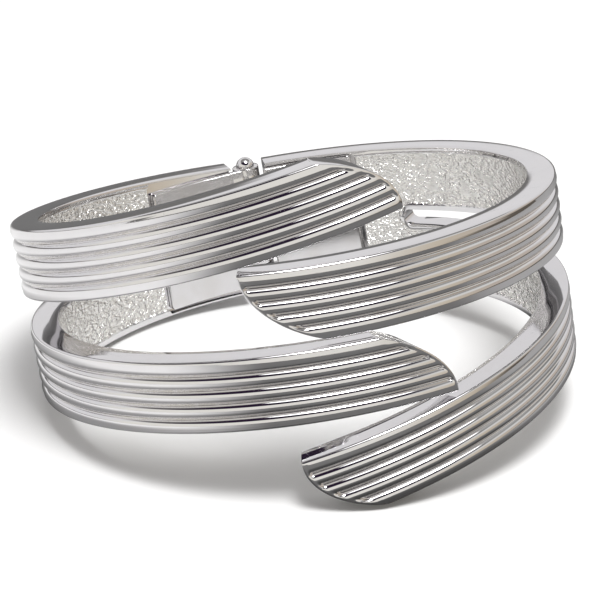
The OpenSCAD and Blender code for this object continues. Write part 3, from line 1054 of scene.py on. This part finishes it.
def studio_world(view):
    """Plain white to the eye. In the metal it is a tent: cream in front, open to a dark room above
    the viewer, a pale backdrop behind and at the sides, a light panel high on the right, and a soft
    box overhead."""
    world = bpy.data.worlds.new("studio")
    bpy.context.scene.world = world
    world.use_nodes = True
    tree = world.node_tree
    background = tree.nodes["Background"]
    direction = add(tree, "ShaderNodeTexCoord").outputs["Generated"]
    split = add(tree, "ShaderNodeSeparateXYZ", {"Vector": direction})
    height = split.outputs["Z"]
    flat = add(tree, "ShaderNodeCombineXYZ", {"X": split.outputs["X"], "Y": split.outputs["Y"]})
    level = add(tree, "ShaderNodeVectorMath", {0: flat.outputs[0]}, operation="NORMALIZE").outputs[0]
    towards = Vector((math.sin(view.azimuth), -math.cos(view.azimuth), 0))
    rightwards = Vector((math.cos(view.azimuth), math.sin(view.azimuth), 0))

    def along(vector, way):
        return add(tree, "ShaderNodeVectorMath", {0: vector, 1: tuple(way)},
                   operation="DOT_PRODUCT").outputs["Value"]

    front = bands_of_light(tree, height, (
        (-0.07, HORIZON), (-0.04, CREAM), (0.53, CREAM), (0.60, ROOM), (0.99, ROOM)))
    sides = bands_of_light(tree, height, (
        (0.02, HORIZON), (0.07, BACKDROP), (0.61, BACKDROP), (0.68, HORIZON), (0.93, CEILING)))
    seen = mixed(tree, ramp(tree, along(level, towards), 0.05, 0.5), sides, front)
    warm = ramp(tree, along(direction, rightwards), 0.5, 0.95)
    seen = add(tree, "ShaderNodeVectorMath", {0: seen, 1: mixed(tree, warm, (1, 1, 1, 1), rgba(WARM))},
               operation="MULTIPLY").outputs[0]
    panel = mathnode(tree, "MULTIPLY", ramp(tree, height, 0.48, 0.56),
                     ramp(tree, along(direction, rightwards), 0.50, 0.66))
    seen = mixed(tree, panel, seen, rgba(SIDE_PANEL))
    box = (Vector((0, 0, 1)) + 0.07 * rightwards + 0.16 * towards).normalized()
    seen = mixed(tree, ramp(tree, along(direction, box), math.cos(math.radians(18)),
                            math.cos(math.radians(16))), seen, rgba(SOFT_BOX))
    eye = add(tree, "ShaderNodeLightPath").outputs["Is Camera Ray"]
    tree.links.new(mixed(tree, eye, seen, (1, 1, 1, 1)), background.inputs["Color"])
    background.inputs["Strength"].default_value = 1.0


def soft_light(name, place, size, energy, colour=(1, 1, 1)):
    """A square soft box that points at the bracelet."""
    light = bpy.data.lights.new(name, "AREA")
    light.shape = "SQUARE"
    light.size = size
    light.energy = energy
    light.color = colour
    lamp = bpy.data.objects.new(name, light)
    bpy.context.collection.objects.link(lamp)
    lamp.location = place
    lamp.rotation_euler = (-Vector(place)).to_track_quat("-Z", "Y").to_euler()
    return lamp


class BANGLE_OT_stage(bpy.types.Operator):
    """Sets the plain floor, the soft studio light and the camera"""

    bl_idname = "bangle.stage"
    bl_label = "Stage"

    def execute(self, context):
        scene = context.scene
        view = scene.bangle_camera
        deselect()
        bpy.ops.mesh.primitive_circle_add(vertices=96, radius=0.35, fill_type="NGON")
        floor = bpy.context.object
        floor.name = "floor"
        floor.data.materials.append(floor_material())
        studio_world(view)
        soft_light("overhead", (0.02, -0.10, 0.60), 0.20, 2.5)

        camera = bpy.data.objects.new("camera", bpy.data.cameras.new("camera"))
        context.collection.objects.link(camera)
        back = Vector((math.sin(view.azimuth) * math.cos(view.elevation),
                       -math.cos(view.azimuth) * math.cos(view.elevation), math.sin(view.elevation)))
        right = (-back).cross(Vector((0, 0, 1))).normalized()
        aim = (-back + view.tilt * right.cross(-back)).normalized()
        right = aim.cross(Vector((0, 0, 1))).normalized()
        right = Matrix.Rotation(-view.roll, 3, aim) @ right
        turn = Matrix((right, right.cross(aim), -aim)).transposed()
        target = Vector((0, 0, view.aim_height))
        camera.matrix_world = Matrix.Translation(target + back * view.distance) @ turn.to_4x4()
        camera.data.sensor_width = 36
        camera.data.lens = view.lens
        camera.data.clip_start = 0.01
        scene.camera = camera
        scene.view_settings.view_transform = "Standard"
        return {"FINISHED"}


class BANGLE_PT_panel(bpy.types.Panel):
    """Sizes, colours and building steps of the bracelet"""

    bl_idname = "BANGLE_PT_panel"
    bl_label = "Bracelet"
    bl_space_type = "VIEW_3D"
    bl_region_type = "UI"
    bl_category = "Bracelet"

    def draw(self, context):
        layout = self.layout
        for key in ("bangle_band", "bangle_hinge", "bangle_finishes", "bangle_camera"):
            settings = getattr(context.scene, key)
            box = layout.box()
            for name in settings.__annotations__:
                box.prop(settings, name)
        for operator in OPERATORS:
            layout.operator(operator.bl_idname)


OPERATORS = (BANGLE_OT_stage, BANGLE_OT_bands, BANGLE_OT_leaves, BANGLE_OT_pin, BANGLE_OT_spring)
GROUPS = {"bangle_band": BangleBandSizes, "bangle_hinge": BangleHingeSizes,
          "bangle_finishes": BangleFinishes, "bangle_camera": BangleCamera}


def register():
    for cls in (*GROUPS.values(), *OPERATORS, BANGLE_PT_panel):
        bpy.utils.register_class(cls)
    for key, group in GROUPS.items():
        setattr(bpy.types.Scene, key, PointerProperty(type=group))


def unregister():
    for key in GROUPS:
        delattr(bpy.types.Scene, key)
    for cls in (BANGLE_PT_panel, *reversed(OPERATORS), *reversed(GROUPS.values())):
        bpy.utils.unregister_class(cls)


def main():
    register()
    deselect()
    bpy.ops.bangle.stage()
    bpy.ops.bangle.bands()
    bpy.ops.bangle.leaves()
    bpy.ops.bangle.pin()
    bpy.ops.bangle.spring()


if __name__ == "__main__":
    main()
